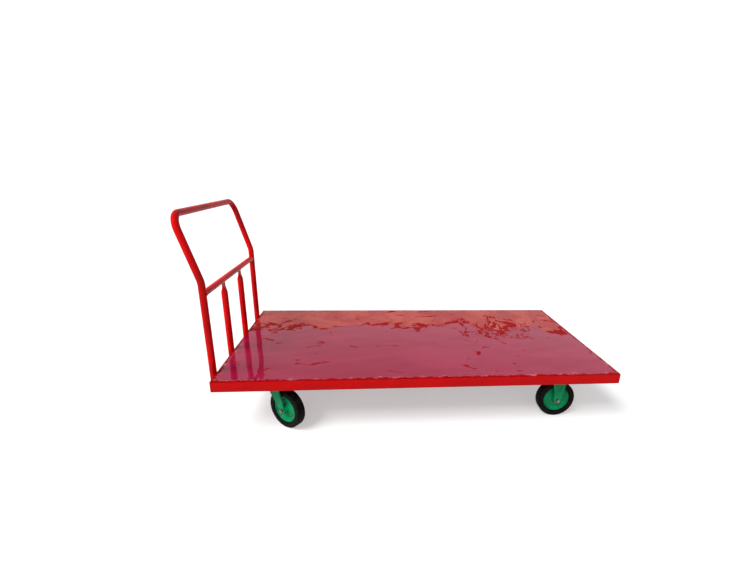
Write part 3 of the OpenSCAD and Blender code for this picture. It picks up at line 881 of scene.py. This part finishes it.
def axle_parts(centre, axle):
    """An axle bolt: turned shank, washers, chamfered hexagon head and nut, and a ringed thread
    end."""
    washer, washer_r, head, across, stub = 2 * MM, 12 * MM, 8 * MM, 18 * MM, 3 * MM
    threads, thread_depth, tip_r = 25, 0.5 * MM, AXLE_R * 0.8
    out = FORK_HALF + washer
    tip = out + head + stub
    thread = AXLE_R - thread_depth * (np.arange(threads) % 2)
    parts = [disc_part(centre, axle, [-out, *np.linspace(out, tip, threads), tip],
                       [AXLE_R, *thread, tip_r])]
    for side in (-1, 1):
        parts.append(disc_part(
            centre + side * FORK_HALF * axle, side * axle,
            [0, 0.2 * MM, washer - 0.3 * MM, washer],
            [washer_r - 0.3 * MM, washer_r, washer_r, washer_r - 0.3 * MM]))
        parts.append(hex_part(
            centre + side * out * axle, side * axle, across, head, 0.35 * side + 0.2))
    return parts


def caster_bolts():
    """Four hexagon bolts with washers under each caster plate, their nuts on top of the pad."""
    washer, washer_r, across, head, nut = 1.6 * MM, 9.5 * MM, 16 * MM, 4.6 * MM, 8 * MM
    bolt_r, tip_r, tip_start, tip_end = 5 * MM, 4 * MM, 11 * MM, 12 * MM
    corners = ((-0.5, -0.5), (-0.5, 0.5), (0.5, -0.5), (0.5, 0.5))
    parts = []
    for kind, place in (("swivel", "handle"), ("rigid", "front")):
        for side in SIDES:
            x, y, _ = middle_and_half(f"{kind}_plate_{side}")[0]
            pad_top = node_box(f"caster_pad_{place}_{side}")[1][2]
            for sx, sy in corners:
                under = np.array([x + sx * BOLT_SPAN_X, y + sy * BOLT_SPAN_Y, PLATE_BOTTOM])
                above = np.array([under[0], under[1], pad_top])
                turn = 1.7 * sx + 0.9 * sy + x
                parts += [
                    disc_part(under, -UP, [0, washer], washer_r, 28),
                    hex_part(under - washer * UP, -UP, across, head, turn),
                    hex_part(above, UP, across, nut, turn + 0.4),
                    disc_part(above, UP, [PLATE_BOTTOM - pad_top, tip_start, tip_end],
                              [bolt_r, bolt_r, tip_r], 20)]
    return parts


def wheel_places():
    """Kind, side, joint, hub centre and axle direction of each wheel, from the wheel joints."""
    for place, kind in (("handle_end", "swivel"), ("front", "rigid")):
        for side in SIDES:
            joint = JOINTS[f"{place}_wheel_spin_{side}"]
            yield kind, side, joint, np.array(joint["pos_m"]), unit(np.array(joint["axis"], float))


# Studio

FLOOR_HALF = 30.0
SENSOR_MM = 36.0
WHITE = (1.0, 1.0, 1.0)
SKY_WHITE = (0.95, 0.97, 1.0)

# Direction of each lamp, its spread in degrees, its strength and whether reflections show it
LAMPS = {
    "key": ((-0.85, -0.42, 1.15), 34.0, 3.7, False),
    "fill": ((-0.1, -1.0, 0.4), 60.0, 1.0, False),
    "back": ((0.3, 0.8, 0.6), 80.0, 0.4, False),
    "glint": ((-0.45, -0.6, 0.75), 10.0, 0.55, True),
}


def make_floor(studio):
    """A wide pale floor: matte, partly lit by itself where it is seen so that shadows stay soft,
    dimmer in the light it throws back, and clear from below."""
    mesh = bpy.data.meshes.new("studio_floor")
    corners = np.array([[-1, -1, 0], [1, -1, 0], [1, 1, 0], [-1, 1, 0]]) * FLOOR_HALF
    mesh.from_pydata(corners.tolist(), [], [[0, 1, 2, 3]])
    floor = placed("studio_floor", mesh)
    material = bpy.data.materials.new("studio_floor")
    material.use_nodes = True
    n = Nodes(material.node_tree)
    n.tree.nodes.clear()
    matte = n.add("ShaderNodeBsdfDiffuse", {"Color": [studio.floor_tone] * 3})
    glow = n.add("ShaderNodeEmission", {"Color": WHITE, "Strength": 1.0})
    dim = n.add("ShaderNodeBsdfDiffuse", {"Color": [studio.floor_bounce] * 3})
    upper = n.mix(n.seen(), dim, n.mix(studio.floor_glow, matte, glow))
    from_below = n.add("ShaderNodeNewGeometry").outputs["Backfacing"]
    surface = n.mix(from_below, upper, n.add("ShaderNodeBsdfTransparent"))
    n.add("ShaderNodeOutputMaterial", {"Surface": surface.outputs[0]})
    mesh.materials.append(material)


def make_room_light(studio):
    """A white room where it is seen, and an even light of the ambient strength where it falls on
    things."""
    world = bpy.data.worlds.new("studio_room")
    bpy.context.scene.world = world
    world.use_nodes = True
    n = Nodes(world.node_tree)
    n.tree.nodes.clear()
    even = n.add("ShaderNodeBackground", {"Color": SKY_WHITE, "Strength": studio.ambient})
    white = n.add("ShaderNodeBackground", {"Color": WHITE, "Strength": 1.0})
    surface = n.mix(n.seen(), even, white)
    n.add("ShaderNodeOutputWorld", {"Surface": surface.outputs[0]})


def make_lamps():
    """Soft lights from far off: a key high on the left, a low fill in front, one from behind, and a
    small one that gives the gloss its highlights; the wide ones stay out of reflections, which show
    the white room."""
    for name, (direction, spread, strength, mirrored) in LAMPS.items():
        light = bpy.data.lights.new(name, "SUN")
        light.angle = math.radians(spread)
        light.energy = strength
        lamp = placed(name, light)
        lamp.visible_glossy = mirrored
        back = unit(np.array(direction))
        side = unit(np.cross(UP, back))
        turn = np.column_stack([side, np.cross(back, side), back])
        lamp.matrix_world = Matrix(turn.tolist()).to_4x4()


def make_camera(studio):
    """The camera at its place: turned by its yaw about Z, dipped by its pitch from level, and
    rolled about its own view."""
    data = bpy.data.cameras.new("view")
    data.sensor_width = SENSOR_MM
    data.sensor_fit = "HORIZONTAL"
    data.lens = studio.camera_lens
    data.shift_x, data.shift_y = studio.camera_shift
    camera = placed("view", data)
    camera.matrix_world = (
        Matrix.Translation(studio.camera_place) @ Matrix.Rotation(studio.camera_yaw, 4, "Z")
        @ Matrix.Rotation(math.pi / 2 - studio.camera_pitch, 4, "X")
        @ Matrix.Rotation(studio.camera_roll, 4, "Z"))
    bpy.context.scene.camera = camera


# Operators

class CART_OT_deck(bpy.types.Operator):
    """Makes the rain-wet deck sheet"""

    bl_idname = "cart.deck"
    bl_label = "Deck sheet"

    def execute(self, context):
        build_piece("wet_deck", [deck_part(context.scene.cart_sizes)], finish("wet_red"),
                    "platform", ["deck_sheet"], sharp=30.0)
        return {"FINISHED"}


class CART_OT_rails(bpy.types.Operator):
    """Makes the four mitred angle rails"""

    bl_idname = "cart.rails"
    bl_label = "Outer rails"

    def execute(self, context):
        rails = {"side_rail_right": (0.0, 1.0, 0.0), "side_rail_left": (0.0, -1.0, 0.0),
                 "end_rail_front": (-1.0, 0.0, 0.0), "end_rail_handle": (1.0, 0.0, 0.0)}
        for node, inward in rails.items():
            build_piece(f"rolled_{node}", [rail_part(np.array(inward))], finish("brushed_red"),
                        "platform", [node])
        return {"FINISHED"}


class CART_OT_handle(bpy.types.Operator):
    """Makes the bent handle tube, its crossbar and the crushed-top spindles"""

    bl_idname = "cart.handle"
    bl_label = "Push handle"

    def execute(self, context):
        pieces = {
            "bent_handle": (handle_part(), "handle_tube"),
            "coped_crossbar": (crossbar_part(), "handle_crossbar"),
            "crushed_spindle_left": (spindle_part(SPINDLE_Y), "spindle_left"),
            "crushed_spindle_right": (spindle_part(-SPINDLE_Y), "spindle_right")}
        for name, (part, node) in pieces.items():
            build_piece(name, [part], finish("brushed_red"), "platform", [node])
        return {"FINISHED"}


class CART_OT_welds(bpy.types.Operator):
    """Makes the weld beads of the handle and the frame"""

    bl_idname = "cart.welds"
    bl_label = "Weld beads"

    def execute(self, context):
        sizes = context.scene.cart_sizes
        pieces = {
            "handle_weld_beads": (handle_welds(sizes), []),
            "foot_weld_beads": (foot_welds(sizes), ["upright_welds"]),
            "frame_weld_beads": (frame_welds(sizes), [])}
        for name, (parts, nodes) in pieces.items():
            build_piece(name, parts, finish("brushed_red"), "platform", nodes,
                        sharp=80.0)
        return {"FINISHED"}


class CART_OT_wheels(bpy.types.Operator):
    """Makes the pressed wheels, their tyres and their axle bolts"""

    bl_idname = "cart.wheels"
    bl_label = "Wheels"

    def execute(self, context):
        sizes = context.scene.cart_sizes
        wheel, tyre = wheel_section(), tyre_section(sizes)
        cuts = tread_cuts(tyre, sizes)
        for kind, side, joint, centre, axle in wheel_places():
            label = f"{kind}_{side}"
            build_piece(f"pressed_wheel_{label}", [revolve_part(wheel, centre, axle)],
                        finish("dipped_green"), joint["child"],
                        [f"{kind}_wheel_{side}"])
            build_piece(f"grooved_tyre_{label}",
                        [revolve_part(tyre, centre, axle, TYRE_STEPS, cuts)],
                        finish("dusty_rubber"), joint["child"],
                        [f"{kind}_tyre_{side}"])
            build_piece(f"axle_bolt_{label}", axle_parts(centre, axle), finish("zinc_plate"),
                        joint["parent"], [f"{kind}_axle_{side}"])
        return {"FINISHED"}


class CART_OT_fasteners(bpy.types.Operator):
    """Makes the bolts that hold the caster plates"""

    bl_idname = "cart.fasteners"
    bl_label = "Caster bolts"

    def execute(self, context):
        build_piece("caster_bolts", caster_bolts(), finish("zinc_plate"), "platform")
        return {"FINISHED"}


class CART_OT_plain_nodes(bpy.types.Operator):
    """Gives the pieces that keep their solid shape their finish"""

    bl_idname = "cart.plain_nodes"
    bl_label = "Frame and caster finishes"

    def execute(self, context):
        finishes = {"red_enamel": "brushed_red", "green_enamel": "dipped_green",
                    "tyre_rubber": "dusty_rubber", "zinc": "zinc_plate"}
        for row in frame["record"]["subparts"]:
            node = frame["nodes"][row["node"]]
            node.data.materials.clear()
            node.data.materials.append(finish(finishes[row["material_slot"]]))
        return {"FINISHED"}


class CART_OT_stage(bpy.types.Operator):
    """Makes the floor, the lights, the room's light and the camera"""

    bl_idname = "cart.stage"
    bl_label = "Studio"

    def execute(self, context):
        studio = context.scene.cart_studio
        make_floor(studio)
        make_room_light(studio)
        make_lamps()
        make_camera(studio)
        context.scene.view_settings.view_transform = "Standard"
        return {"FINISHED"}


# Add-on

class CART_PT_sidebar(bpy.types.Panel):
    """Lists the cart's operators and settings"""

    bl_idname = "CART_PT_sidebar"
    bl_label = "Platform cart"
    bl_space_type = "VIEW_3D"
    bl_region_type = "UI"
    bl_category = "Cart"

    def draw(self, context):
        for operator in OPERATORS:
            self.layout.operator(operator.bl_idname)
        scene = context.scene
        for group in (scene.cart_paint, scene.cart_sizes, scene.cart_studio):
            for key in group.__annotations__:
                self.layout.prop(group, key)


OPERATORS = (CART_OT_plain_nodes, CART_OT_deck, CART_OT_rails, CART_OT_handle, CART_OT_welds,
             CART_OT_wheels, CART_OT_fasteners, CART_OT_stage)
GROUPS = {"cart_paint": CartPaint, "cart_sizes": CartSizes, "cart_studio": CartStudio}


def register():
    """Adds the settings, the operators and the panel."""
    for key, group in GROUPS.items():
        bpy.utils.register_class(group)
        setattr(bpy.types.Scene, key, bpy.props.PointerProperty(type=group))
    for cls in (*OPERATORS, CART_PT_sidebar):
        bpy.utils.register_class(cls)


def unregister():
    """Takes the panel, the operators and the settings away."""
    for cls in (CART_PT_sidebar, *reversed(OPERATORS)):
        bpy.utils.unregister_class(cls)
    for key, group in GROUPS.items():
        delattr(bpy.types.Scene, key)
        bpy.utils.unregister_class(group)


def main():
    """Registers the add-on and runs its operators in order."""
    register()
    bpy.ops.cart.plain_nodes()
    bpy.ops.cart.deck()
    bpy.ops.cart.rails()
    bpy.ops.cart.handle()
    bpy.ops.cart.welds()
    bpy.ops.cart.wheels()
    bpy.ops.cart.fasteners()
    bpy.ops.cart.stage()


if __name__ == "__main__":
    main()
